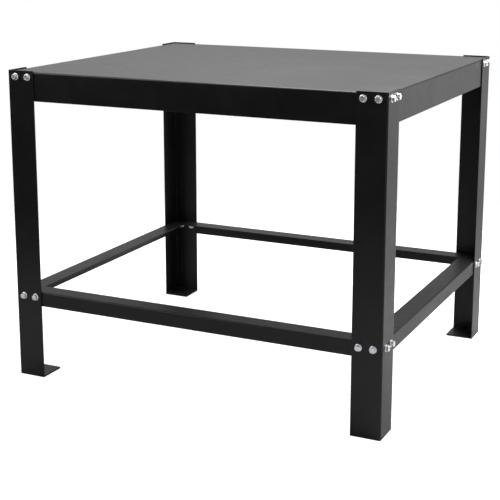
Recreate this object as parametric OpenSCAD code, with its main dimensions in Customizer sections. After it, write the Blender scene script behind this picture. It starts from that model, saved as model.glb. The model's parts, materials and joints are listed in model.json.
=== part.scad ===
// Bolt-together sheet-steel work stand: a folded tray top between four angle legs,
// a ring of lower rails, foot plates, and flange bolts with flange nuts.
// Millimetres, +Z up, X across the width, Y towards the back.
// The origin is on the floor, under the middle of the top.

/* [Stand] */
// Width across the outer faces of the legs
stand_w = 1016; // [700:1:1400]
// Depth across the outer faces of the legs
stand_d = 864; // [600:1:1200]
// Height from the floor to the tops of the legs
stand_h = 813; // [600:1:1000]

/* [Sheet] */
// Thickness of the folded sheet
sheet_t = 3; // [2.5:0.5:3.5]
// Radius on the inside of every fold
bend_r = 1; // [0.5:0.5:1.5]

/* [Tray top] */
// How far the flat top lies below the tops of the legs
tray_drop = 3; // [1:0.5:4]
// Height of the folded-down aprons, flat top included
apron_h = 74; // [60:1:120]
// Length cut from each apron's ends where two folds meet
corner_relief = 5; // [5:0.5:8]

/* [Legs] */
// Width of each flange of a leg
leg_flange = 76; // [74:1:100]
// Thickness of the square plate that closes a leg at the floor
foot_t = 4; // [3:0.5:6]
// Size of the cut corners of a foot plate
foot_cut = 2.5; // [2:0.5:6]

/* [Lower rails] */
// Height of a rail's upright flange
rail_h = 38; // [36:1:50]
// Width of a rail's level flange
rail_flange = 50; // [30:1:60]
// Height of the rails' lower edge above the floor
rail_z = 196; // [100:1:400]
// Gap between two mitred rail ends
mitre_gap = 1; // [0.5:0.5:3]

/* [Fasteners] */
// Thread diameter of the bolts
bolt_d = 8; // [8:1:8]
// Length of a bolt under its head
bolt_l = 16; // [16:1:20]
// Diameter of the holes for the bolts
hole_d = 9; // [8.5:0.25:9.5]
// Width across the flats of bolt heads and nuts
hex_af = 13; // [13:1:13]
// Diameter of the flange on bolt heads and nuts
flange_d = 17.9; // [17:0.1:17.9]
// Height of a bolt head, and of a nut, with its flange
hex_h = 8; // [7:0.1:8]
// Distance from the stand's corner to the nearer bolt
bolt_edge = 23; // [23:1:25]
// Distance between the two bolts on a flange
bolt_pitch = 36; // [28:1:36]
// Distance of the upper bolts below the tops of the legs
upper_bolt_drop = 16; // [16:1:30]
// Distance of the lower bolts below the tops of the rails
lower_bolt_drop = 14; // [14:1:20]

/* [Hidden] */

$fn = 48;
powder_coat = [0.10, 0.10, 0.10];
zinc = [0.78, 0.79, 0.80];

half_w = stand_w / 2;
half_d = stand_d / 2;
// Half sizes of what fits inside the legs: the tray and the ring of rails
inner_w = half_w - sheet_t;
inner_d = half_d - sheet_t;
bend_outer_r = bend_r + sheet_t;

tray_z = stand_h - tray_drop;
rail_top_z = rail_z + rail_h;
upper_bolt_z = stand_h - upper_bolt_drop;
lower_bolt_z = rail_top_z - lower_bolt_drop;

// Two sheets lie between a bolt's head and its nut
grip = 2 * sheet_t;
shank_clearance = 0.1;
flange_rim_h = 1.2;
flange_slope_h = 1.4;
hex_corner_r = hex_af / 2 / cos(30);
chamfer_h = 1.0;
// A little extra length so that a cut runs past the faces it opens
over = 1;

// Quarter ring of a fold, in the quadrant that points to the outer corner
module fold_profile() {
    intersection() {
        translate([bend_outer_r, bend_outer_r]) difference() {
            circle(r = bend_outer_r);
            circle(r = bend_r);
        }
        square(bend_outer_r);
    }
}

// Section of a folded angle: outer corner at the origin, flanges along +X and +Y
module angle_profile(flange_x, flange_y) {
    fold_profile();
    translate([bend_outer_r, 0]) square([flange_x - bend_outer_r, sheet_t]);
    translate([0, bend_outer_r]) square([sheet_t, flange_y - bend_outer_r]);
}

// Places its children at the four bolts of one corner and level, with +Z pointing
// out of the leg's outer face; sx and sy are the corner's signs
module at_corner_bolts(sx, sy, z) {
    for (step = [0, 1]) {
        from_corner = bolt_edge + step * bolt_pitch;
        translate([sx * (half_w - from_corner), sy * half_d, z])
            rotate([-90 * sy, 0, 0]) children();
        translate([sx * half_w, sy * (half_d - from_corner), z])
            rotate([0, 90 * sx, 0]) children();
    }
}

// Clearance holes through both sheets at one corner and level
module corner_holes(sx, sy, z) {
    at_corner_bolts(sx, sy, z)
        translate([0, 0, -grip - over]) cylinder(d = hole_d, h = grip + 2 * over);
}

// Flange and hexagon shared by bolt heads and nuts, standing on the flange's face
module flanged_hexagon() {
    rotate_extrude() polygon([
        [0, 0], [flange_d / 2, 0], [flange_d / 2, flange_rim_h],
        [hex_af / 2, flange_rim_h + flange_slope_h], [0, flange_rim_h + flange_slope_h],
    ]);
    intersection() {
        cylinder(r = hex_corner_r, h = hex_h, $fn = 6);
        union() {
            cylinder(r = hex_corner_r + over, h = hex_h - chamfer_h);
            translate([0, 0, hex_h - chamfer_h])
                cylinder(r1 = hex_corner_r + 0.1, r2 = hex_af / 2 - 0.3, h = chamfer_h);
        }
    }
}

module flange_bolt() {
    flanged_hexagon();
    translate([0, 0, -bolt_l]) cylinder(d = bolt_d - shank_clearance, h = bolt_l + over);
}

// A nut on the bolt's axis, seated on the inner face of the second sheet
module flange_nut() {
    translate([0, 0, -grip]) mirror([0, 0, 1]) difference() {
        flanged_hexagon();
        translate([0, 0, -over]) cylinder(d = bolt_d, h = hex_h + 2 * over);
    }
}

// One folded-down side of the tray: an angle whose level flange is only the fold,
// standing on the outer face of the side that runs along X at -depth
module tray_side(length, depth) {
    translate([-length / 2, -depth, tray_z]) rotate([90, 0, 90]) linear_extrude(length)
        mirror([0, 1]) {
            fold_profile();
            translate([0, bend_outer_r]) square([sheet_t, apron_h - bend_outer_r]);
        }
}

module tray_top() {
    flat_w = 2 * (inner_w - bend_outer_r);
    flat_d = 2 * (inner_d - bend_outer_r);
    side_w = 2 * (inner_w - corner_relief);
    side_d = 2 * (inner_d - corner_relief);
    color(powder_coat) difference() {
        union() {
            translate([-flat_w / 2, -flat_d / 2, tray_z - sheet_t]) cube([flat_w, flat_d, sheet_t]);
            for (turn = [0, 180]) {
                rotate([0, 0, turn]) tray_side(side_w, inner_d);
                rotate([0, 0, turn + 90]) tray_side(side_d, inner_w);
            }
        }
        for (sx = [-1, 1], sy = [-1, 1]) corner_holes(sx, sy, upper_bolt_z);
    }
}

module leg(sx, sy) {
    color(powder_coat) difference() {
        mirror([sx > 0 ? 1 : 0, 0, 0]) mirror([0, sy > 0 ? 1 : 0, 0])
            translate([-half_w, -half_d, 0]) linear_extrude(stand_h)
                angle_profile(leg_flange, leg_flange);
        corner_holes(sx, sy, upper_bolt_z);
        corner_holes(sx, sy, lower_bolt_z);
    }
}

// Square plate welded between a leg's flanges, flush with the floor
module foot(sx, sy) {
    side = leg_flange - sheet_t;
    color(powder_coat)
        mirror([sx > 0 ? 1 : 0, 0, 0]) mirror([0, sy > 0 ? 1 : 0, 0])
            translate([-inner_w, -inner_d, 0]) linear_extrude(foot_t) polygon([
                [foot_cut, 0], [side, 0], [side, side - foot_cut],
                [side - foot_cut, side], [0, side], [0, foot_cut],
            ]);
}

// A rail along X with its outer face at -depth and mitred ends
module mitred_rail(half_length, depth) {
    outer = half_length - mitre_gap / 2;
    inner = outer - rail_flange;
    intersection() {
        translate([-half_length, -depth, rail_top_z]) rotate([90, 0, 90])
            linear_extrude(2 * half_length) mirror([0, 1]) angle_profile(rail_flange, rail_h);
        translate([0, -depth, rail_z - over]) linear_extrude(rail_h + 2 * over)
            polygon([[-outer, 0], [outer, 0], [inner, rail_flange], [-inner, rail_flange]]);
    }
}

module rail_along_x(sy) {
    color(powder_coat) difference() {
        mirror([0, sy > 0 ? 1 : 0, 0]) mitred_rail(inner_w, inner_d);
        for (sx = [-1, 1]) corner_holes(sx, sy, lower_bolt_z);
    }
}

module rail_along_y(sx) {
    color(powder_coat) difference() {
        rotate([0, 0, sx * 90]) mitred_rail(inner_d, inner_w);
        for (sy = [-1, 1]) corner_holes(sx, sy, lower_bolt_z);
    }
}

module bolts(sx, sy, z) {
    color(zinc) at_corner_bolts(sx, sy, z) flange_bolt();
}

module nuts(sx, sy, z) {
    color(zinc) at_corner_bolts(sx, sy, z) flange_nut();
}

tray_top();

leg(-1, -1);  // leg_front_left
leg(1, -1);  // leg_front_right
leg(-1, 1);  // leg_rear_left
leg(1, 1);  // leg_rear_right

foot(-1, -1);  // foot_front_left
foot(1, -1);  // foot_front_right
foot(-1, 1);  // foot_rear_left
foot(1, 1);  // foot_rear_right

rail_along_x(-1);  // rail_front
rail_along_x(1);  // rail_rear
rail_along_y(-1);  // rail_left
rail_along_y(1);  // rail_right

bolts(-1, -1, upper_bolt_z);  // upper_bolts_front_left
bolts(1, -1, upper_bolt_z);  // upper_bolts_front_right
bolts(-1, 1, upper_bolt_z);  // upper_bolts_rear_left
bolts(1, 1, upper_bolt_z);  // upper_bolts_rear_right
bolts(-1, -1, lower_bolt_z);  // lower_bolts_front_left
bolts(1, -1, lower_bolt_z);  // lower_bolts_front_right
bolts(-1, 1, lower_bolt_z);  // lower_bolts_rear_left
bolts(1, 1, lower_bolt_z);  // lower_bolts_rear_right

nuts(-1, -1, upper_bolt_z);  // upper_nuts_front_left
nuts(1, -1, upper_bolt_z);  // upper_nuts_front_right
nuts(-1, 1, upper_bolt_z);  // upper_nuts_rear_left
nuts(1, 1, upper_bolt_z);  // upper_nuts_rear_right
nuts(-1, -1, lower_bolt_z);  // lower_nuts_front_left
nuts(1, -1, lower_bolt_z);  // lower_nuts_front_right
nuts(-1, 1, lower_bolt_z);  // lower_nuts_rear_left
nuts(1, 1, lower_bolt_z);  // lower_nuts_rear_right
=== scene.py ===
"""Forge stand: a folded tray top between four angle legs, a ring of lower rails,
foot plates, and zinc-plated flange bolts and nuts, on a pale studio floor.

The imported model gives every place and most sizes. This script remodels the sheet
pieces and fasteners with their real folds, rounded cut edges and threads, and
gives them their finishes. All lengths are in metres.
"""

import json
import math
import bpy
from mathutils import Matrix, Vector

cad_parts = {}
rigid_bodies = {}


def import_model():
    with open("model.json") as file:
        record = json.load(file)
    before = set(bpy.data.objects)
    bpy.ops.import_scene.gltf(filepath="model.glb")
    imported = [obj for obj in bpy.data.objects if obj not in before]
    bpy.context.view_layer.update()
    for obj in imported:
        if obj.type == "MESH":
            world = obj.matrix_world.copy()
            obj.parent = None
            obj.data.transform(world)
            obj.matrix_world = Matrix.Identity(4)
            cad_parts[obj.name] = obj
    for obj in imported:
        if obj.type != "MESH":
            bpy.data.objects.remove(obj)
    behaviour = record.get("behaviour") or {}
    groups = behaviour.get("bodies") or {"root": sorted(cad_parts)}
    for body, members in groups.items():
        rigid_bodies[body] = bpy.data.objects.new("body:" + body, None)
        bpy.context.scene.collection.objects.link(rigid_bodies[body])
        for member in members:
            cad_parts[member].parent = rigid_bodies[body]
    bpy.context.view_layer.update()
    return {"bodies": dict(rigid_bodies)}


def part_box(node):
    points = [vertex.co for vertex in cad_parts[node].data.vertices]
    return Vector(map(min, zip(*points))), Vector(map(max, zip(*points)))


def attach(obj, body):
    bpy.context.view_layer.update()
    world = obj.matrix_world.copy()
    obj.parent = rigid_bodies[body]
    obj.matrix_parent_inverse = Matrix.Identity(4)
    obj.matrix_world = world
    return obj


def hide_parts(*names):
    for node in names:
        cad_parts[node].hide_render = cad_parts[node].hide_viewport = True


bl_info = {
    "name": "Forge Stand",
    "version": (1, 0, 0),
    "blender": (4, 5, 0),
    "location": "3D View > Sidebar > Forge Stand",
    "description": "Models a bolt-together sheet-steel forge stand and its studio",
    "category": "Object",
}

import bmesh
import bpy
from bpy.props import FloatProperty, FloatVectorProperty, IntProperty, PointerProperty
from bpy.types import Operator, Panel, PropertyGroup
from mathutils import Matrix, Vector

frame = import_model()

BODY = next(iter(frame["bodies"]))
MM = 0.001
# Two places nearer than this are the same place
NEAR = 0.01 * MM

# Corner names with the quarter turns that bring the front left corner to each
CORNERS = {"front_left": 0, "front_right": 1, "rear_right": 2, "rear_left": 3}
LEVELS = ("upper", "lower")


# ---------- Settings ----------

class ForgeStandSheet(PropertyGroup):
    """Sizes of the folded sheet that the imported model's boxes don't tell"""

    fold_radius: FloatProperty(
        name="Fold radius",
        description="Outside radius of every fold",
        default=4 * MM,
        unit="LENGTH",
    )
    fold_steps: IntProperty(
        name="Fold steps",
        description="Flat steps round each fold",
        default=6,
    )
    edge_radius: FloatProperty(
        name="Cut edge radius",
        description="Rounding that the coating leaves on cut edges",
        default=0.4 * MM,
        unit="LENGTH",
    )
    corner_relief: FloatProperty(
        name="Corner relief",
        description="Length cut from each apron's ends where two folds meet",
        default=5 * MM,
        unit="LENGTH",
    )
    mitre_gap: FloatProperty(
        name="Mitre gap",
        description="Gap between two mitred rail ends",
        default=1 * MM,
        unit="LENGTH",
    )
    hole_diameter: FloatProperty(
        name="Hole diameter",
        description="Clearance holes for the bolts",
        default=9 * MM,
        unit="LENGTH",
    )
    foot_cut: FloatProperty(
        name="Foot corner cut",
        description="Length cut from two corners of each foot plate",
        default=2.5 * MM,
        unit="LENGTH",
    )


class ForgeStandFasteners(PropertyGroup):
    """Sizes of the flange bolts and nuts"""

    thread_diameter: FloatProperty(
        name="Thread diameter",
        description="Outside diameter of the thread",
        default=7.9 * MM,
        unit="LENGTH",
    )
    thread_pitch: FloatProperty(
        name="Thread pitch",
        description="Distance between two turns of the thread",
        default=1.25 * MM,
        unit="LENGTH",
    )
    across_flats: FloatProperty(
        name="Across flats",
        description="Width of the hexagon of heads and nuts",
        default=13 * MM,
        unit="LENGTH",
    )
    flange_diameter: FloatProperty(
        name="Flange diameter",
        description="Diameter of the flange on heads and nuts",
        default=17.9 * MM,
        unit="LENGTH",
    )
    rim_height: FloatProperty(
        name="Rim height",
        description="Thickness of the flange at its rim",
        default=1.2 * MM,
        unit="LENGTH",
    )
    head_height: FloatProperty(
        name="Head height",
        description="Height of a head or nut with its flange",
        default=8 * MM,
        unit="LENGTH",
    )
    shank_length: FloatProperty(
        name="Shank length",
        description="Length of a bolt under its head",
        default=16 * MM,
        unit="LENGTH",
    )
    spacing: FloatProperty(
        name="Bolt spacing",
        description="Distance between the two bolts on a flange",
        default=36 * MM,
        unit="LENGTH",
    )
    edge_radius: FloatProperty(
        name="Edge radius",
        description="Rounding of the edges of heads, nuts and flanges",
        default=0.2 * MM,
        unit="LENGTH",
    )


class ForgeStandFinish(PropertyGroup):
    """Colours of the coating and the plating"""

    coat_colour: FloatVectorProperty(
        name="Coat colour",
        description="Black of the powder coat",
        subtype="COLOR",
        default=(0.0035, 0.0035, 0.0036),
        min=0.0,
        max=1.0,
    )
    dust_colour: FloatVectorProperty(
        name="Dust colour",
        description="Pale bloom of dust and handling on the coat",
        subtype="COLOR",
        default=(0.045, 0.045, 0.0445),
        min=0.0,
        max=1.0,
    )
    zinc_colour: FloatVectorProperty(
        name="Zinc colour",
        description="Bright zinc plate",
        subtype="COLOR",
        default=(0.95, 0.955, 0.96),
        min=0.0,
        max=1.0,
    )
    floor_colour: FloatVectorProperty(
        name="Floor colour",
        description="Pale studio floor",
        subtype="COLOR",
        default=(0.42, 0.42, 0.42),
        min=0.0,
        max=1.0,
    )


class ForgeStandStage(PropertyGroup):
    """The camera's place and the floor"""

    azimuth: FloatProperty(
        name="Camera azimuth",
        description="Turn of the camera to the right of the front",
        default=math.radians(25.6),
        subtype="ANGLE",
    )
    elevation: FloatProperty(
        name="Camera elevation",
        description="Tilt of the camera's line of sight below level",
        default=math.radians(12.0),
        subtype="ANGLE",
    )
    distance: FloatProperty(
        name="Camera distance",
        description="Distance of the camera from what it looks at",
        default=3.276,
        unit="LENGTH",
    )
    target: FloatVectorProperty(
        name="Camera target",
        description="Point that the camera looks at",
        subtype="XYZ",
        default=(-0.034, 0.0, 0.475),
    )
    lens: FloatProperty(
        name="Focal length",
        description="Focal length on a 36 mm wide sensor",
        default=85.9,
        unit="CAMERA",
    )
    rise: FloatProperty(
        name="Lens shift",
        description="Vertical shift that keeps the legs nearly upright",
        default=-0.13,
    )
    floor_radius: FloatProperty(
        name="Floor radius",
        description="Radius at which the floor has faded out",
        default=2.2,
        unit="LENGTH",
    )


# The scene's settings, by the names they have in it
SETTINGS = {
    "forge_sheet": ForgeStandSheet,
    "forge_fasteners": ForgeStandFasteners,
    "forge_finish": ForgeStandFinish,
    "forge_stage": ForgeStandStage,
}


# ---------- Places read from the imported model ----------

def stand_sizes():
    """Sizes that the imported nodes' boxes give, in a dictionary."""
    leg_low, leg_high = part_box("leg_front_left")
    tray_low, tray_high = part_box("tray_top")
    rail_low, rail_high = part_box("rail_front")
    foot_low, foot_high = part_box("foot_front_left")
    return {
        "half_width": -leg_low.x,
        "half_depth": -leg_low.y,
        "height": leg_high.z,
        "leg_flange": leg_high.x - leg_low.x,
        "sheet": tray_low.x - leg_low.x,
        "inner_width": -tray_low.x,
        "inner_depth": -tray_low.y,
        "tray_top": tray_high.z,
        "apron": tray_high.z - tray_low.z,
        "rail_top": rail_high.z,
        "rail_height": rail_high.z - rail_low.z,
        "rail_flange": rail_high.y - rail_low.y,
        "foot": foot_high.z - foot_low.z,
    }


def bolt_height(level):
    """Height of the bolts' axes at one level."""
    low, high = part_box(level + "_bolts_front_left")
    return (low.z + high.z) / 2


def bolt_offsets():
    """Distances of a flange's two bolts from the stand's outer corner."""
    fasteners = bpy.context.scene.forge_fasteners
    _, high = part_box("upper_bolts_front_left")
    leg_low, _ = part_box("leg_front_left")
    far = high.x - fasteners.flange_diameter / 2 - leg_low.x
    return (far - fasteners.spacing, far)


def corner_matrix(corner, half_width, half_depth):
    """Moves a piece made with its outer corner at the origin, flanges along +X and +Y."""
    sign_x = -1 if "left" in corner else 1
    sign_y = -1 if "front" in corner else 1
    turn = Matrix.Rotation(CORNERS[corner] * math.pi / 2, 4, "Z")
    return Matrix.Translation((sign_x * half_width, sign_y * half_depth, 0)) @ turn


# ---------- Modelling helpers ----------

def deselect():
    """Leaves nothing selected, in object mode."""
    if bpy.context.mode != "OBJECT":
        bpy.ops.object.mode_set(mode="OBJECT")
    bpy.ops.object.select_all(action="DESELECT")


def activate(piece):
    """Makes a piece the only selected object and the active one."""
    deselect()
    piece.select_set(True)
    bpy.context.view_layer.objects.active = piece


def start_piece(name):
    """Names the primitive that was just added and bakes its size into its mesh."""
    piece = bpy.context.active_object
    piece.name = name
    piece.data.name = name
    activate(piece)
    bpy.ops.object.transform_apply(location=True, rotation=True, scale=True)
    return piece


def add_cylinder(name, radius, low, high, sides=48):
    """An upright cylinder on the Z axis between two heights."""
    deselect()
    bpy.ops.mesh.primitive_cylinder_add(
        vertices=sides, radius=radius, depth=high - low, location=(0, 0, (low + high) / 2)
    )
    return start_piece(name)


def edit(piece, kind):
    """Opens a piece in edit mode with nothing selected; kind is VERT, EDGE or FACE."""
    activate(piece)
    bpy.ops.object.mode_set(mode="EDIT")
    bpy.ops.mesh.select_mode(type=kind)
    bpy.ops.mesh.select_all(action="DESELECT")


def select(piece, kind, test):
    """Selects the edges or faces that pass a test, in the mode that edit opened."""
    mesh = bmesh.from_edit_mesh(piece.data)
    parts = mesh.edges if kind == "EDGE" else mesh.faces
    for part in parts:
        part.select_set(bool(test(part)))
    bmesh.update_edit_mesh(piece.data)


def done():
    """Closes edit mode."""
    bpy.ops.object.mode_set(mode="OBJECT")


def edge_at(axis, value, along):
    """A test for edges that lie at one coordinate and run along another axis."""
    def test(edge):
        first, second = (vertex.co for vertex in edge.verts)
        at_place = abs(first[axis] - value) < NEAR and abs(second[axis] - value) < NEAR
        return at_place and abs(first[along] - second[along]) > NEAR
    return test


def apply_modifier(piece, kind, **values):
    """Adds one modifier to a piece and applies it at once."""
    activate(piece)
    modifier = piece.modifiers.new(kind.title(), kind)
    for key, value in values.items():
        setattr(modifier, key, value)
    bpy.ops.object.modifier_apply(modifier=modifier.name)


def join(pieces, name):
    """Joins several pieces into the first, as separate shells of one mesh."""
    deselect()
    for piece in pieces:
        piece.select_set(True)
    bpy.context.view_layer.objects.active = pieces[0]
    bpy.ops.object.join()
    pieces[0].name = name
    pieces[0].data.name = name
    return pieces[0]


def copy_piece(piece, name, matrix):
    """A copy with its own mesh, moved in its mesh and not as an object."""
    mesh = piece.data.copy()
    mesh.transform(matrix)
    mesh.name = name
    twin = bpy.data.objects.new(name, mesh)
    bpy.context.collection.objects.link(twin)
    return twin


def remove(piece):
    """Deletes a pattern or cutter that is no longer needed."""
    mesh = piece.data
    bpy.data.objects.remove(piece)
    bpy.data.meshes.remove(mesh)


def drill(piece, drills):
    """Cuts holes with cylinders that are used up."""
    cutter = join(drills, "drill")
    apply_modifier(piece, "BOOLEAN", operation="DIFFERENCE", solver="EXACT", object=cutter)
    remove(cutter)


def drill_at(place, axis, diameter, depth):
    """One drill centred on a place; axis is X or Y."""
    turn = (0, math.pi / 2, 0) if axis == "X" else (math.pi / 2, 0, 0)
    deselect()
    bpy.ops.mesh.primitive_cylinder_add(
        vertices=40, radius=diameter / 2, depth=depth, location=place, rotation=turn
    )
    return start_piece("drill")


def face_outwards(piece, outward):
    """Turns an open folded sheet so that its largest face points the given way."""
    edit(piece, "FACE")
    bpy.ops.mesh.select_all(action="SELECT")
    bpy.ops.mesh.normals_make_consistent(inside=False)
    mesh = bmesh.from_edit_mesh(piece.data)
    outer = max(mesh.faces, key=lambda face: abs(face.normal.dot(outward)) * face.calc_area())
    if outer.normal.dot(outward) < 0:
        bpy.ops.mesh.flip_normals()
    done()


def thicken(piece, thickness):
    """Gives a sheet its thickness on the inside of its faces."""
    apply_modifier(
        piece, "SOLIDIFY", thickness=thickness, offset=-1.0, use_even_offset=True
    )


# Edges that turn less than this are shaded smooth
SMOOTH_ANGLE = math.radians(35)


def ease_edges(piece, radius):
    """Rounds cut edges and shades the folds smooth while the flats stay flat."""
    apply_modifier(
        piece, "BEVEL", width=radius, segments=2, limit_method="ANGLE",
        angle_limit=math.radians(50), harden_normals=True, use_clamp_overlap=True,
    )
    activate(piece)
    bpy.ops.object.shade_smooth_by_angle(angle=SMOOTH_ANGLE)
    apply_modifier(piece, "WEIGHTED_NORMAL", keep_sharp=True, weight=100)


def finish_piece(piece, material, slot, *nodes):
    """Puts a finished piece in its place on the stand."""
    piece.data.materials.clear()
    piece.data.materials.append(material)
    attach(piece, BODY)
    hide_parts(*nodes)


# ---------- Shader helpers and groups ----------

def set_inputs(node, values):
    """Sets the named inputs of a node."""
    for name, value in values.items():
        node.inputs[name].default_value = value


def add_node(tree, kind, inputs=None, **attributes):
    """Adds a node with its attributes and input values."""
    node = tree.nodes.new(kind)
    for key, value in attributes.items():
        setattr(node, key, value)
    set_inputs(node, inputs or {})
    return node


def new_group(name, inputs, outputs):
    """A shader node group with named sockets and its two end nodes."""
    tree = bpy.data.node_groups.new(name, "ShaderNodeTree")
    for label, kind, value in inputs:
        socket = tree.interface.new_socket(name=label, in_out="INPUT", socket_type=kind)
        if value is not None:
            socket.default_value = value
    for label, kind in outputs:
        tree.interface.new_socket(name=label, in_out="OUTPUT", socket_type=kind)
    return tree, tree.nodes.new("NodeGroupInput"), tree.nodes.new("NodeGroupOutput")


def noise(tree, vector, scale, detail=3.0, roughness=0.55):
    """A noise texture's value output at a scale in waves per metre."""
    node = add_node(
        tree, "ShaderNodeTexNoise",
        {"Scale": scale, "Detail": detail, "Roughness": roughness},
    )
    tree.links.new(vector, node.inputs["Vector"])
    return node.outputs["Fac"]


def remap(tree, value, low, high, new_low, new_high):
    """Maps a range of values to another, clamped."""
    node = add_node(
        tree, "ShaderNodeMapRange",
        {"From Min": low, "From Max": high, "To Min": new_low, "To Max": new_high},
    )
    tree.links.new(value, node.inputs["Value"])
    return node.outputs["Result"]


def maths(tree, operation, *values):
    """One math node; each value is a socket or a number."""
    node = add_node(tree, "ShaderNodeMath", operation=operation)
    for index, value in enumerate(values):
        if isinstance(value, (int, float)):
            node.inputs[index].default_value = value
        else:
            tree.links.new(value, node.inputs[index])
    return node.outputs["Value"]


def mix_colour(tree, factor, first, second):
    """Mixes two colours by a factor socket; each is a socket or a colour."""
    node = add_node(tree, "ShaderNodeMix", data_type="RGBA")
    tree.links.new(factor, node.inputs["Factor"])
    for label, value in (("A", first), ("B", second)):
        socket = next(s for s in node.inputs if s.name == label and s.type == "RGBA")
        if isinstance(value, bpy.types.NodeSocket):
            tree.links.new(value, socket)
        else:
            socket.default_value = (*value[:3], 1.0)
    return next(s for s in node.outputs if s.type == "RGBA")


def orange_peel_group():
    """Height, mottle and smudges of a powder coat, and the dust that settles on it."""
    tree, start, end = new_group(
        "Orange Peel",
        [("Vector", "NodeSocketVector", None), ("Waves", "NodeSocketFloat", 420.0)],
        [("Height", "NodeSocketFloat"), ("Mottle", "NodeSocketFloat"),
         ("Smudge", "NodeSocketFloat"), ("Bloom", "NodeSocketFloat")],
    )
    vector = start.outputs["Vector"]
    waves = add_node(
        tree, "ShaderNodeTexNoise", {"Detail": 2.0, "Roughness": 0.45, "Distortion": 0.3}
    )
    tree.links.new(vector, waves.inputs["Vector"])
    tree.links.new(start.outputs["Waves"], waves.inputs["Scale"])
    fine = noise(tree, vector, 2600.0, detail=2.0)
    height = maths(tree, "ADD", waves.outputs["Fac"], maths(tree, "MULTIPLY", fine, 0.18))
    tree.links.new(height, end.inputs["Height"])
    mottle = remap(tree, noise(tree, vector, 55.0, detail=4.0), 0.35, 0.65, 0.0, 1.0)
    tree.links.new(mottle, end.inputs["Mottle"])
    patches = noise(tree, vector, 7.0, detail=5.0, roughness=0.6)
    smudge = remap(tree, patches, 0.42, 0.68, 0.0, 1.0)
    tree.links.new(smudge, end.inputs["Smudge"])
    surface = add_node(tree, "ShaderNodeNewGeometry")
    facing = add_node(tree, "ShaderNodeSeparateXYZ")
    tree.links.new(surface.outputs["Normal"], facing.inputs["Vector"])
    upward = maths(tree, "MAXIMUM", facing.outputs["Z"], 0.1)
    settled = maths(tree, "MULTIPLY_ADD", smudge, 0.3, 0.45)
    tree.links.new(maths(tree, "MULTIPLY", settled, upward), end.inputs["Bloom"])
    return tree


def edge_band_group():
    """A mask that is 1 along outer edges, broken up by grain; on the coat it gives a paler edge
    that is partly wear and partly a painted highlight.
    """
    tree, start, end = new_group(
        "Edge Band",
        [("Vector", "NodeSocketVector", None), ("Reach", "NodeSocketFloat", 0.0012)],
        [("Mask", "NodeSocketFloat")],
    )
    rounded = add_node(tree, "ShaderNodeBevel", samples=4)
    tree.links.new(start.outputs["Reach"], rounded.inputs["Radius"])
    flat = add_node(tree, "ShaderNodeNewGeometry")
    likeness = add_node(tree, "ShaderNodeVectorMath", operation="DOT_PRODUCT")
    tree.links.new(rounded.outputs["Normal"], likeness.inputs[0])
    tree.links.new(flat.outputs["Normal"], likeness.inputs[1])
    edge = remap(tree, likeness.outputs["Value"], 0.99, 0.86, 0.0, 1.0)
    speckle = noise(tree, start.outputs["Vector"], 160.0, detail=4.0)
    grain = remap(tree, speckle, 0.4, 0.62, 0.15, 1.0)
    tree.links.new(maths(tree, "MULTIPLY", edge, grain), end.inputs["Mask"])
    return tree


def plating_group():
    """Grain, tarnish tint and tool marks of zinc plating."""
    tree, start, end = new_group(
        "Zinc Plating",
        [("Vector", "NodeSocketVector", None)],
        [("Height", "NodeSocketFloat"), ("Cloud", "NodeSocketFloat")],
    )
    vector = start.outputs["Vector"]
    grain = noise(tree, vector, 1900.0, detail=3.0)
    cloud = remap(tree, noise(tree, vector, 210.0, detail=3.0), 0.35, 0.65, 0.0, 1.0)
    stretch = add_node(tree, "ShaderNodeMapping")
    stretch.inputs["Scale"].default_value = (1.0, 1.0, 7.0)
    stretch.inputs["Rotation"].default_value = (0.5, 0.4, 0.7)
    tree.links.new(vector, stretch.inputs["Vector"])
    scratch = remap(
        tree, noise(tree, stretch.outputs["Vector"], 900.0, detail=2.0), 0.56, 0.66, 0.0, 1.0
    )
    height = maths(tree, "SUBTRACT", grain, maths(tree, "MULTIPLY", scratch, 0.4))
    tree.links.new(height, end.inputs["Height"])
    tree.links.new(cloud, end.inputs["Cloud"])
    return tree


def group_node(tree, group):
    """Places a group and feeds it the object's own coordinates."""
    node = tree.nodes.new("ShaderNodeGroup")
    node.node_tree = group
    places = tree.nodes.new("ShaderNodeTexCoord")
    tree.links.new(places.outputs["Object"], node.inputs["Vector"])
    return node


def new_material(name):
    """A material with only its Principled shader and output."""
    material = bpy.data.materials.new(name)
    material.use_nodes = True
    tree = material.node_tree
    shader = next(node for node in tree.nodes if node.type == "BSDF_PRINCIPLED")
    return material, tree, shader


def add_bump(tree, shader, height, strength, distance):
    """Feeds a height to the shader's normal."""
    bump = add_node(tree, "ShaderNodeBump", {"Strength": strength, "Distance": distance})
    tree.links.new(height, bump.inputs["Height"])
    tree.links.new(bump.outputs["Normal"], shader.inputs["Normal"])


# Colours at the edges, and how far they show: on the coat a paler edge that is partly wear and
# partly a painted highlight, on the zinc rubbed plating
WORN_AND_HIGHLIT_COAT, COAT_EDGE_WEAR_AND_HIGHLIGHT = (0.045, 0.045, 0.047), 0.5
RUBBED_ZINC, ZINC_RUB = (0.90, 0.90, 0.90), 0.6


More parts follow.
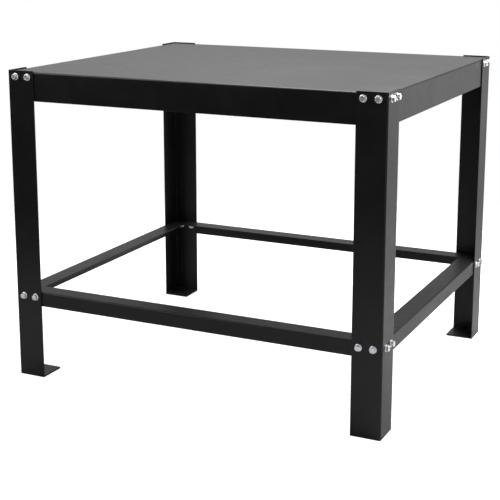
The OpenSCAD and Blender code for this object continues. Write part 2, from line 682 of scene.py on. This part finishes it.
def powder_coat(name, groups, dust, roughness):
    """Satin black powder coat; dust is how much bloom lies on it."""
    finish = bpy.context.scene.forge_finish
    _, tree, shader = new_material(name)
    peel = group_node(tree, groups["peel"])
    edge_band = group_node(tree, groups["edge_band"])
    bloom = maths(tree, "MULTIPLY", peel.outputs["Bloom"], dust)
    colour = mix_colour(tree, bloom, finish.coat_colour, finish.dust_colour)
    # Paler coat along the edges: partly wear, partly a painted edge highlight
    edge_share = maths(tree, "MULTIPLY", edge_band.outputs["Mask"], COAT_EDGE_WEAR_AND_HIGHLIGHT)
    colour = mix_colour(tree, edge_share, colour, WORN_AND_HIGHLIT_COAT)
    tree.links.new(colour, shader.inputs["Base Color"])
    gloss = maths(tree, "MULTIPLY_ADD", peel.outputs["Mottle"], 0.035, roughness)
    smeared = maths(tree, "MULTIPLY_ADD", peel.outputs["Smudge"], 0.05, gloss)
    tree.links.new(smeared, shader.inputs["Roughness"])
    shader.inputs["Specular IOR Level"].default_value = 0.4
    add_bump(tree, shader, peel.outputs["Height"], 0.16, 0.4 * MM)


def zinc_plate(name, groups, roughness):
    """Bright zinc plate with a faint tint."""
    finish = bpy.context.scene.forge_finish
    _, tree, shader = new_material(name)
    plating = group_node(tree, groups["plating"])
    edge_band = group_node(tree, groups["edge_band"])
    base = tuple(finish.zinc_colour)
    tinted = (base[0] * 0.90, base[1] * 0.93, base[2] * 0.98)
    colour = mix_colour(tree, plating.outputs["Cloud"], base, tinted)
    edge_share = maths(tree, "MULTIPLY", edge_band.outputs["Mask"], ZINC_RUB)
    colour = mix_colour(tree, edge_share, colour, RUBBED_ZINC)
    tree.links.new(colour, shader.inputs["Base Color"])
    gloss = maths(tree, "MULTIPLY_ADD", plating.outputs["Cloud"], 0.08, roughness)
    tree.links.new(gloss, shader.inputs["Roughness"])
    shader.inputs["Metallic"].default_value = 0.8
    add_bump(tree, shader, plating.outputs["Height"], 0.12, 0.1 * MM)


def make_finishes():
    """Builds every material of the stand once."""
    groups = {
        "peel": orange_peel_group(),
        "edge_band": edge_band_group(),
        "plating": plating_group(),
    }
    powder_coat("satin_black_top", groups, dust=0.8, roughness=0.30)
    powder_coat("satin_black_legs", groups, dust=0.3, roughness=0.32)
    powder_coat("satin_black_rails", groups, dust=0.1, roughness=0.37)
    zinc_plate("bright_zinc_bolts", groups, roughness=0.27)
    zinc_plate("bright_zinc_nuts", groups, roughness=0.30)


def finish_named(name):
    """One of the finishes that make_finishes made."""
    return bpy.data.materials[name]


# ---------- Sheet pieces ----------

def flange_drills(z, thickness, diameter):
    """Drills for the four holes of one corner and level, its corner at the origin."""
    drills = []
    for offset in bolt_offsets():
        drills.append(drill_at((offset, thickness / 2, z), "Y", diameter, thickness * 4))
        drills.append(drill_at((thickness / 2, offset, z), "X", diameter, thickness * 4))
    return drills


def folded_angle(name, centre, size, fold, reach, thickness):
    """An angle section: an upright sheet at y = 0 with a flange folded back from an edge.

    centre and size are the upright sheet's X and Z, and fold tests for the folded edge.
    """
    sheet = bpy.context.scene.forge_sheet
    deselect()
    bpy.ops.mesh.primitive_plane_add(
        size=1, location=(centre[0], 0, centre[1]), rotation=(math.pi / 2, 0, 0)
    )
    bpy.context.active_object.scale = (*size, 1)
    piece = start_piece(name)
    edit(piece, "EDGE")
    select(piece, "EDGE", fold)
    bpy.ops.mesh.extrude_region_move(TRANSFORM_OT_translate={"value": (0, reach, 0)})
    select(piece, "EDGE", lambda edge: fold(edge) and abs(edge.verts[0].co.y) < NEAR)
    bevel_fold(sheet)
    done()
    face_outwards(piece, Vector((0, -1, 0)))
    thicken(piece, thickness)
    return piece


def bevel_fold(sheet):
    """Rounds the selected edges to the outside radius of a fold."""
    bpy.ops.mesh.bevel(
        offset=sheet.fold_radius, segments=sheet.fold_steps, affect="EDGES", offset_type="OFFSET"
    )


def model_leg(sizes, sheet):
    """One folded angle leg with its outer corner at the origin."""
    flange, height = sizes["leg_flange"], sizes["height"]
    leg = folded_angle(
        "leg", (flange / 2, height / 2), (flange, height), edge_at(0, 0.0, 2),
        flange, sizes["sheet"],
    )
    for level in LEVELS:
        drill(leg, flange_drills(bolt_height(level), sizes["sheet"], sheet.hole_diameter))
    ease_edges(leg, sheet.edge_radius)
    return leg


def model_tray(sizes, sheet):
    """The flat top with its aprons folded down, corners notched."""
    width, depth = 2 * sizes["inner_width"], 2 * sizes["inner_depth"]
    top, apron = sizes["tray_top"], sizes["apron"]
    deselect()
    bpy.ops.mesh.primitive_plane_add(size=1, location=(0, 0, top))
    bpy.context.active_object.scale = (width, depth, 1)
    tray = start_piece("tray")
    edit(tray, "FACE")
    for axis, half in ((0, width / 2), (1, depth / 2)):
        for sign in (-1, 1):
            place, normal = [0, 0, top], [0, 0, 0]
            place[axis] = sign * (half - sheet.corner_relief)
            normal[axis] = 1
            bpy.ops.mesh.select_all(action="SELECT")
            bpy.ops.mesh.bisect(plane_co=place, plane_no=normal)
    reach_x, reach_y = width / 2 - sheet.corner_relief, depth / 2 - sheet.corner_relief

    def in_corner(face):
        centre = face.calc_center_median()
        return abs(centre.x) > reach_x and abs(centre.y) > reach_y

    select(tray, "FACE", in_corner)
    bpy.ops.mesh.delete(type="FACE")
    bpy.ops.mesh.select_mode(type="EDGE")

    def on_rim(edge):
        middle = (edge.verts[0].co + edge.verts[1].co) / 2
        return abs(abs(middle.x) - width / 2) < NEAR or abs(abs(middle.y) - depth / 2) < NEAR

    select(tray, "EDGE", on_rim)
    bpy.ops.mesh.extrude_region_move(TRANSFORM_OT_translate={"value": (0, 0, -apron)})

    def on_top_rim(edge):
        return on_rim(edge) and min(vertex.co.z for vertex in edge.verts) > top - NEAR

    select(tray, "EDGE", on_top_rim)
    bevel_fold(sheet)
    done()
    face_outwards(tray, Vector((0, 0, 1)))
    thicken(tray, sizes["sheet"])
    drills = []
    for corner in CORNERS:
        matrix = corner_matrix(corner, sizes["half_width"], sizes["half_depth"])
        for part in flange_drills(bolt_height("upper"), sizes["sheet"] * 2, sheet.hole_diameter):
            part.data.transform(matrix)
            drills.append(part)
    drill(tray, drills)
    ease_edges(tray, sheet.edge_radius)
    return tray


def model_rail(sizes, sheet, half_length):
    """A mitred angle rail along X, its outer face at y = 0 and its top at z = 0."""
    height = sizes["rail_height"]
    rail = folded_angle(
        "rail", (0, -height / 2), (2 * half_length, height), edge_at(2, 0.0, 0),
        sizes["rail_flange"], sizes["sheet"],
    )
    edit(rail, "FACE")
    for sign in (-1, 1):
        bpy.ops.mesh.select_all(action="SELECT")
        bpy.ops.mesh.bisect(
            plane_co=(sign * (half_length - sheet.mitre_gap / 2), 0, 0),
            plane_no=(sign, 1, 0), use_fill=True, clear_outer=True,
        )
    done()
    drills = []
    z = bolt_height("lower") - sizes["rail_top"]
    for sign in (-1, 1):
        for offset in bolt_offsets():
            x = sign * (half_length + sizes["sheet"] - offset)
            place = (x, sizes["sheet"] / 2, z)
            drills.append(drill_at(place, "Y", sheet.hole_diameter, sizes["sheet"] * 4))
    drill(rail, drills)
    ease_edges(rail, sheet.edge_radius)
    return rail


def model_foot(sizes, sheet):
    """A square foot plate with two cut corners and its welds, outer corner at the origin."""
    low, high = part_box("foot_front_left")
    side = high.x - low.x
    deselect()
    bpy.ops.mesh.primitive_cube_add(size=1, location=(side / 2, side / 2, sizes["foot"] / 2))
    bpy.context.active_object.scale = (side, side, sizes["foot"])
    foot = start_piece("foot")
    edit(foot, "EDGE")

    def cut_corner(edge):
        first, second = (vertex.co for vertex in edge.verts)
        upright = abs(first.z - second.z) > NEAR
        return upright and abs(first.x - first.y) < NEAR

    select(foot, "EDGE", cut_corner)
    bpy.ops.mesh.bevel(offset=sheet.foot_cut, segments=3, affect="EDGES", offset_type="OFFSET")
    done()
    ease_edges(foot, sheet.edge_radius)
    return join([foot, *model_stitches(side, sizes["foot"])], "foot")


# Weld stitches of a foot plate: half sizes of a ripple along, across and up, in mm;
# how far it leans; the step between ripples; how many lie on each side of the middle
RIPPLE_SIZE = (1.6, 2.4, 2.1)
RIPPLE_LEAN = math.radians(28)
RIPPLE_STEP = 1.6 * MM
RIPPLES_EACH_SIDE = 5


def model_stitches(side, plate):
    """Two weld stitches along each flange, each a run of overlapping ripples."""
    deselect()
    bpy.ops.mesh.primitive_uv_sphere_add(segments=16, ring_count=10, radius=1 * MM)
    bpy.context.active_object.scale = RIPPLE_SIZE
    seed = start_piece("ripple")
    activate(seed)
    bpy.ops.object.shade_smooth()
    lean = Matrix.Rotation(RIPPLE_LEAN, 4, "Y")
    quarter = Matrix.Rotation(math.pi / 2, 4, "Z")
    inset, level = 0.4 * MM, plate + 0.3 * MM
    ripples = []
    for middle in (0.25 * side, 0.75 * side):
        for step in range(-RIPPLES_EACH_SIDE, RIPPLES_EACH_SIDE + 1):
            along = middle + step * RIPPLE_STEP
            place = Matrix.Translation((along, inset, level)) @ lean
            ripples.append(copy_piece(seed, "ripple", place))
            place = Matrix.Translation((inset, along, level)) @ quarter @ lean
            ripples.append(copy_piece(seed, "ripple", place))
    remove(seed)
    return ripples


def set_at_corners(pattern, name, node, half_sizes):
    """Sets a copy of a leg's piece at each corner and deletes the pattern."""
    for corner in CORNERS:
        piece = copy_piece(pattern, name + corner, corner_matrix(corner, *half_sizes))
        finish_piece(piece, finish_named("satin_black_legs"), "powder_coat_legs", node + corner)
    remove(pattern)


class FORGE_OT_finishes(Operator):
    """Makes the powder coat and zinc plate materials"""

    bl_idname = "forge.finishes"
    bl_label = "Make Finishes"

    def execute(self, context):
        make_finishes()
        return {"FINISHED"}


class FORGE_OT_tray(Operator):
    """Models the tray top with its folded aprons"""

    bl_idname = "forge.tray"
    bl_label = "Model Tray Top"

    def execute(self, context):
        sheet = context.scene.forge_sheet
        tray = model_tray(stand_sizes(), sheet)
        tray.name = "tray_sheet"
        finish_piece(tray, finish_named("satin_black_top"), "powder_coat_top", "tray_top")
        return {"FINISHED"}


class FORGE_OT_legs(Operator):
    """Models one folded angle leg and sets a copy at each corner"""

    bl_idname = "forge.legs"
    bl_label = "Model Legs"

    def execute(self, context):
        sheet = context.scene.forge_sheet
        sizes = stand_sizes()
        pattern = model_leg(sizes, sheet)
        half_sizes = (sizes["half_width"], sizes["half_depth"])
        set_at_corners(pattern, "leg_sheet_", "leg_", half_sizes)
        return {"FINISHED"}


class FORGE_OT_feet(Operator):
    """Models one foot plate and sets a copy in each leg"""

    bl_idname = "forge.feet"
    bl_label = "Model Foot Plates"

    def execute(self, context):
        sheet = context.scene.forge_sheet
        sizes = stand_sizes()
        pattern = model_foot(sizes, sheet)
        half_sizes = (sizes["inner_width"], sizes["inner_depth"])
        set_at_corners(pattern, "foot_plate_", "foot_", half_sizes)
        return {"FINISHED"}


class FORGE_OT_rails(Operator):
    """Models a long and a short mitred rail and sets two copies of each"""

    bl_idname = "forge.rails"
    bl_label = "Model Lower Rails"

    def execute(self, context):
        sheet = context.scene.forge_sheet
        sizes = stand_sizes()
        runs = (
            (sizes["inner_width"], sizes["inner_depth"], {"front": 0, "rear": 2}),
            (sizes["inner_depth"], sizes["inner_width"], {"right": 1, "left": 3}),
        )
        for half_length, out, sides in runs:
            pattern = model_rail(sizes, sheet, half_length)
            for side, quarter in sides.items():
                turn = Matrix.Rotation(quarter * math.pi / 2, 4, "Z")
                place = Matrix.Translation((0, -out, sizes["rail_top"]))
                rail = copy_piece(pattern, "rail_sheet_" + side, turn @ place)
                material = finish_named("satin_black_rails")
                finish_piece(rail, material, "powder_coat_rails", "rail_" + side)
            remove(pattern)
        return {"FINISHED"}


# ---------- Fasteners ----------

# Slope of the chamfer that turns a hexagon's corners down, and rise of the flange's skirt
CHAMFER_SLOPE = math.tan(math.radians(28))
SKIRT_RISE = 1.4 * MM
# Dish in a bolt's head: width of the rim round it, and its depth
DISH_RIM = 1.7 * MM
DISH_DEPTH = 0.5 * MM
# Depth of a thread and width of its ridge, in pitches; width of the crest, in ridges
THREAD_DEPTH = 0.55
RIDGE_WIDTH = 0.9
CREST_WIDTH = 0.16
# Chamfers of a bolt's end and of a nut's bore
END_CHAMFER = 0.7 * MM
BORE_CHAMFER = 0.6 * MM
# How far a thread's ridge runs into the core
RIDGE_OVERLAP = 0.1 * MM


def model_flanged_hexagon(fasteners):
    """The flange, skirt and chamfered hexagon that heads and nuts share."""
    corner_radius = fasteners.across_flats / 2 / math.cos(math.pi / 6)
    flange = add_cylinder("flange", fasteners.flange_diameter / 2, 0, fasteners.rim_height, 64)
    edit(flange, "FACE")
    select(flange, "FACE", lambda face: face.normal.z > 0.9)
    rim_to_hexagon = fasteners.flange_diameter / 2 - corner_radius * 0.94
    bpy.ops.mesh.inset(thickness=rim_to_hexagon * 0.12, depth=0)
    bpy.ops.mesh.inset(thickness=rim_to_hexagon * 0.88, depth=SKIRT_RISE)
    done()
    hexagon = add_cylinder("hexagon", corner_radius, 0.4 * MM, fasteners.head_height, 6)
    cone_radius = corner_radius * 1.9
    cone_height = cone_radius * CHAMFER_SLOPE
    deselect()
    bpy.ops.mesh.primitive_cone_add(
        vertices=64, radius1=cone_radius, radius2=0, depth=cone_height, location=(0, 0, 0)
    )
    cone = start_piece("chamfer")
    rise = fasteners.across_flats / 2 * 0.96 * CHAMFER_SLOPE
    middle = fasteners.head_height + rise - cone_height / 2
    cone.data.transform(Matrix.Translation((0, 0, middle)))
    edit(cone, "FACE")
    select(cone, "FACE", lambda face: face.normal.z < -0.9)
    bpy.ops.mesh.extrude_region_move(
        TRANSFORM_OT_translate={"value": (0, 0, -fasteners.head_height * 1.5)}
    )
    bpy.ops.mesh.select_all(action="SELECT")
    bpy.ops.mesh.normals_make_consistent(inside=False)
    done()
    apply_modifier(hexagon, "BOOLEAN", operation="INTERSECT", solver="EXACT", object=cone)
    remove(cone)
    return flange, hexagon


def model_bolt(fasteners):
    """A flange bolt pointing along +Z, seated on z = 0, its thread below."""
    flange, hexagon = model_flanged_hexagon(fasteners)
    edit(hexagon, "FACE")
    top = fasteners.head_height - NEAR

    def on_top(face):
        return face.normal.z > 0.9 and face.calc_center_median().z > top

    select(hexagon, "FACE", on_top)
    bpy.ops.mesh.inset(thickness=DISH_RIM, depth=0)
    bpy.ops.mesh.inset(thickness=DISH_DEPTH, depth=-DISH_DEPTH)
    done()
    for piece in (flange, hexagon):
        ease_edges(piece, fasteners.edge_radius)
    return join([flange, hexagon, *model_thread(fasteners)], "bolt")


def model_thread(fasteners):
    """The core of a bolt with its chamfered end, and the rolled ridge round it."""
    pitch, outer = fasteners.thread_pitch, fasteners.thread_diameter / 2
    root, length = outer - THREAD_DEPTH * pitch, fasteners.shank_length
    core = add_cylinder("core", root, -length, 0.2 * MM, 32)
    edit(core, "EDGE")
    select(core, "EDGE", lambda edge: max(v.co.z for v in edge.verts) < -length + NEAR)
    bpy.ops.mesh.bevel(offset=END_CHAMFER, segments=1, affect="EDGES")
    done()
    activate(core)
    bpy.ops.object.shade_smooth_by_angle(angle=SMOOTH_ANGLE)
    deselect()
    depth = outer - root + RIDGE_OVERLAP
    start = -length + 1.1 * MM
    bpy.ops.mesh.primitive_plane_add(
        size=1, location=(outer - depth / 2, 0, start), rotation=(math.pi / 2, 0, 0)
    )
    bpy.context.active_object.scale = (depth, pitch * RIDGE_WIDTH, 1)
    ridge = start_piece("ridge")
    edit(ridge, "EDGE")
    select(ridge, "EDGE", edge_at(0, outer, 2))
    bpy.ops.transform.resize(value=(1, 1, CREST_WIDTH), center_override=(outer, 0, start))
    done()
    apply_modifier(
        ridge, "SCREW", axis="Z", angle=2 * math.pi, screw_offset=pitch, steps=20,
        render_steps=20, iterations=int((length - 2 * pitch) / pitch), use_smooth_shade=False,
    )
    edit(ridge, "EDGE")
    bpy.ops.mesh.select_all(action="SELECT")
    bpy.ops.mesh.remove_doubles(threshold=1e-6)
    bpy.ops.mesh.fill_holes(sides=4)
    bpy.ops.mesh.normals_make_consistent(inside=False)
    done()
    activate(ridge)
    bpy.ops.object.shade_smooth_by_angle(angle=math.radians(30))
    return core, ridge


def model_nut(fasteners):
    """A flange nut pointing along +Z, seated on z = 0, with a chamfered bore."""
    flange, hexagon = model_flanged_hexagon(fasteners)
    bore = fasteners.thread_diameter / 2 + 0.05 * MM
    top = fasteners.head_height

    def mouth(edge):
        ends = [vertex.co for vertex in edge.verts]
        return all(end.z > top - NEAR and end.xy.length < bore + 0.1 * MM for end in ends)

    for piece in (flange, hexagon):
        hole = add_cylinder("bore", bore, -MM, top + MM, 48)
        apply_modifier(piece, "BOOLEAN", operation="DIFFERENCE", solver="EXACT", object=hole)
        remove(hole)
    edit(hexagon, "EDGE")
    select(hexagon, "EDGE", mouth)
    bpy.ops.mesh.bevel(offset=BORE_CHAMFER, segments=1, affect="EDGES", offset_type="OFFSET")
    done()
    for piece in (flange, hexagon):
        ease_edges(piece, fasteners.edge_radius)
    return join([flange, hexagon], "nut")


# How differently fasteners were turned when they were tightened: from bolt to bolt,
# from flange to flange and from corner to corner
BOLT_TURN = math.radians(43)
FACE_TURN = math.radians(71)
CORNER_TURN = math.radians(23)
FIRST_TURN = math.radians(17)


def corner_set(pattern, name, inward, z, clock):
    """Four copies of a fastener on one corner's two flanges, the corner at the origin.

    inward is the depth of the seat below the leg's outer face, and turns a nut over.
    clock is how far the corner's first fastener was turned when it was tightened.
    """
    pieces = []
    flip = Matrix.Rotation(math.pi, 4, "X") if inward > 0 else Matrix.Identity(4)
    for index, offset in enumerate(bolt_offsets()):
        on_front = Matrix.Translation((offset, inward, z)) @ Matrix.Rotation(math.pi / 2, 4, "X")
        on_side = Matrix.Translation((inward, offset, z)) @ Matrix.Rotation(-math.pi / 2, 4, "Y")
        for face, place in enumerate((on_front, on_side)):
            angle = clock + index * BOLT_TURN + face * FACE_TURN
            matrix = place @ flip @ Matrix.Rotation(angle, 4, "Z")
            pieces.append(copy_piece(pattern, name, matrix))
    return join(pieces, name)


class FORGE_OT_bolts(Operator):
    """Models one flange bolt and sets four copies at each corner and level"""

    bl_idname = "forge.bolts"
    bl_label = "Model Bolts"

    def execute(self, context):
        set_fasteners(model_bolt(context.scene.forge_fasteners), "bolts", 0.0)
        return {"FINISHED"}


class FORGE_OT_nuts(Operator):
    """Models one flange nut and sets four copies at each corner and level"""

    bl_idname = "forge.nuts"
    bl_label = "Model Nuts"

    def execute(self, context):
        grip = 2 * stand_sizes()["sheet"]
        set_fasteners(model_nut(context.scene.forge_fasteners), "nuts", grip)
        return {"FINISHED"}


def set_fasteners(pattern, kind, inward):
    """Sets a fastener's copies at every corner and level, one piece for each node."""
    sizes = stand_sizes()
    clock = FIRST_TURN
    for level in LEVELS:
        for corner in CORNERS:
            name = f"{level}_{kind}_set_{corner}"
            clock += CORNER_TURN
            group = corner_set(pattern, name, inward, bolt_height(level), clock)
            group.data.transform(corner_matrix(corner, sizes["half_width"], sizes["half_depth"]))
            slot = "zinc_" + kind
            finish_piece(group, finish_named("bright_" + slot), slot, f"{level}_{kind}_{corner}")
    remove(pattern)


# ---------- Stage ----------

# Softboxes: name, place, point they aim at, width and height, and power in watts
SOFTBOXES = (
    ("overhead", (0.2, 0.9, 3.4), (0.1, 0.1, 0), (3.6, 3.2), 245),
    ("front_left", (-2.3, -2.1, 2.2), (0, 0, 0.4), (2.4, 2.2), 50),
    ("rear_right", (1.9, 3.0, 0.7), (0.5, 0.2, 0.3), (1.6, 1.2), 3),
    ("right", (1.3, 0.2, 1.5), (0.9, 0.1, 0), (0.8, 0.8), 28),
)


def add_softbox(name, place, aim, size, power):
    """A large soft area light that doesn't show itself."""
    light = bpy.data.lights.new(name, "AREA")
    light.shape = "RECTANGLE"
    light.size, light.size_y = size
    light.energy = power
    lamp = bpy.data.objects.new(name, light)
    lamp.location = place
    lamp.rotation_mode = "QUATERNION"
    lamp.rotation_quaternion = (Vector(aim) - Vector(place)).to_track_quat("-Z", "Y")
    lamp.visible_camera = False
    bpy.context.collection.objects.link(lamp)


# Where the floor starts and ends fading, in its radii, and how much it is lifted to white
FADE_START, FADE_END = 0.55, 0.98
FLOOR_LIFT = 0.92


def make_floor(stage, finish):
    """A pale round floor that fades out into the studio's white."""
    deselect()
    bpy.ops.mesh.primitive_circle_add(
        vertices=96, radius=stage.floor_radius, fill_type="NGON", location=(0, 0, -0.4 * MM)
    )
    floor = start_piece("studio_floor")
    edit(floor, "FACE")
    bpy.ops.mesh.select_all(action="SELECT")
    bpy.ops.mesh.inset(thickness=stage.floor_radius * 0.35)
    done()
    material, tree, shader = new_material("pale_floor")
    places = tree.nodes.new("ShaderNodeTexCoord")
    length = add_node(tree, "ShaderNodeVectorMath", operation="LENGTH")
    tree.links.new(places.outputs["Object"], length.inputs[0])
    radius = stage.floor_radius
    solid = remap(tree, length.outputs["Value"], radius * FADE_START, radius * FADE_END, 1.0, 0.0)
    tree.links.new(solid, shader.inputs["Alpha"])
    shader.inputs["Base Color"].default_value = (*finish.floor_colour, 1.0)
    shader.inputs["Roughness"].default_value = 0.7
    shader.inputs["Specular IOR Level"].default_value = 0.2
    shader.inputs["Emission Color"].default_value = (1, 1, 1, 1)
    path = tree.nodes.new("ShaderNodeLightPath")
    lift = maths(tree, "MULTIPLY", path.outputs["Is Camera Ray"], FLOOR_LIFT)
    tree.links.new(lift, shader.inputs["Emission Strength"])
    floor.data.materials.append(material)


def soft_panel(tree, direction, turn, height, spread, strength):
    """Brightness of one large soft panel, far off in the studio.

    turn is its angle from straight behind the stand towards the right, height its
    angle above the floor, and spread the angle at which it has faded out.
    """
    turn, height, spread = (math.radians(angle) for angle in (turn, height, spread))
    aim = (
        math.sin(turn) * math.cos(height),
        math.cos(turn) * math.cos(height),
        math.sin(height),
    )
    likeness = add_node(tree, "ShaderNodeVectorMath", operation="DOT_PRODUCT")
    tree.links.new(direction, likeness.inputs[0])
    likeness.inputs[1].default_value = aim
    fade = add_node(
        tree, "ShaderNodeMapRange",
        {"From Min": math.cos(spread), "From Max": 1.0, "To Min": 0.0, "To Max": strength},
        interpolation_type="SMOOTHSTEP",
    )
    tree.links.new(likeness.outputs["Value"], fade.inputs["Value"])
    return fade.outputs["Result"]


# Panels of the studio: turn, height, spread (degrees) and strength
PANELS = (
    (-26, 8, 50, 0.57),
    (-60, 10, 50, 0.20),
    (50, -25, 45, 1.90),
    (150, 5, 50, 0.85),
)


def make_world():
    """White to the eye, and soft panels in a dim studio to everything else."""
    world = bpy.data.worlds.new("studio")
    bpy.context.scene.world = world
    world.use_nodes = True
    tree = world.node_tree
    tree.nodes.clear()
    direction = tree.nodes.new("ShaderNodeTexCoord").outputs["Generated"]
    light = 0.0
    for panel in PANELS:
        light = maths(tree, "ADD", soft_panel(tree, direction, *panel), light)
    studio = tree.nodes.new("ShaderNodeBackground")
    tree.links.new(light, studio.inputs["Strength"])
    white = tree.nodes.new("ShaderNodeBackground")
    white.inputs["Color"].default_value = (1, 1, 1, 1)
    path = tree.nodes.new("ShaderNodeLightPath")
    choose = tree.nodes.new("ShaderNodeMixShader")
    tree.links.new(path.outputs["Is Camera Ray"], choose.inputs["Fac"])
    tree.links.new(studio.outputs["Background"], choose.inputs[1])
    tree.links.new(white.outputs["Background"], choose.inputs[2])
    out = tree.nodes.new("ShaderNodeOutputWorld")
    tree.links.new(choose.outputs["Shader"], out.inputs["Surface"])


def make_camera(stage):
    """The camera, aimed at the stand's middle from the right of its front."""
    camera = bpy.data.cameras.new("camera")
    camera.sensor_width = 36.0
    camera.lens = stage.lens
    camera.shift_y = stage.rise
    rig = bpy.data.objects.new("camera", camera)
    back = Vector((
        math.sin(stage.azimuth) * math.cos(stage.elevation),
        -math.cos(stage.azimuth) * math.cos(stage.elevation),
        math.sin(stage.elevation),
    ))
    rig.location = Vector(stage.target) + back * stage.distance
    rig.rotation_mode = "QUATERNION"
    rig.rotation_quaternion = back.to_track_quat("Z", "Y")
    bpy.context.collection.objects.link(rig)
    bpy.context.scene.camera = rig


class FORGE_OT_stage(Operator):
    """Makes the floor, the lights, the studio and the camera"""

    bl_idname = "forge.stage"
    bl_label = "Make Stage"

    def execute(self, context):
        stage = context.scene.forge_stage
        make_floor(stage, context.scene.forge_finish)
        make_world()
        make_camera(stage)
        for softbox in SOFTBOXES:
            add_softbox(*softbox)
        context.scene.view_settings.view_transform = "Standard"
        return {"FINISHED"}


# ---------- Panel and registration ----------

STEPS = (
    "forge.stage",
    "forge.finishes",
    "forge.tray",
    "forge.legs",
    "forge.feet",
    "forge.rails",
    "forge.bolts",
    "forge.nuts",
)


class FORGE_PT_panel(Panel):
    """Lists the stand's settings and the steps that make it"""

    bl_label = "Forge Stand"
    bl_idname = "FORGE_PT_panel"
    bl_space_type = "VIEW_3D"
    bl_region_type = "UI"
    bl_category = "Forge Stand"

    def draw(self, context):
        layout = self.layout
        for group, kind in SETTINGS.items():
            column = layout.column(align=True)
            for name in kind.__annotations__:
                column.prop(getattr(context.scene, group), name)
        for step in STEPS:
            layout.operator(step)


CLASSES = (
    *SETTINGS.values(),
    FORGE_OT_finishes,
    FORGE_OT_tray,
    FORGE_OT_legs,
    FORGE_OT_feet,
    FORGE_OT_rails,
    FORGE_OT_bolts,
    FORGE_OT_nuts,
    FORGE_OT_stage,
    FORGE_PT_panel,
)


def register():
    """Registers every class and gives the scene its settings."""
    for cls in CLASSES:
        bpy.utils.register_class(cls)
    for name, kind in SETTINGS.items():
        setattr(bpy.types.Scene, name, PointerProperty(type=kind))


def unregister():
    """Takes the settings and classes away again."""
    for name in SETTINGS:
        delattr(bpy.types.Scene, name)
    for cls in reversed(CLASSES):
        bpy.utils.unregister_class(cls)


def main():
    """Makes the whole scene."""
    register()
    for step in STEPS:
        area, name = step.split(".")
        getattr(getattr(bpy.ops, area), name)()


if __name__ == "__main__":
    main()
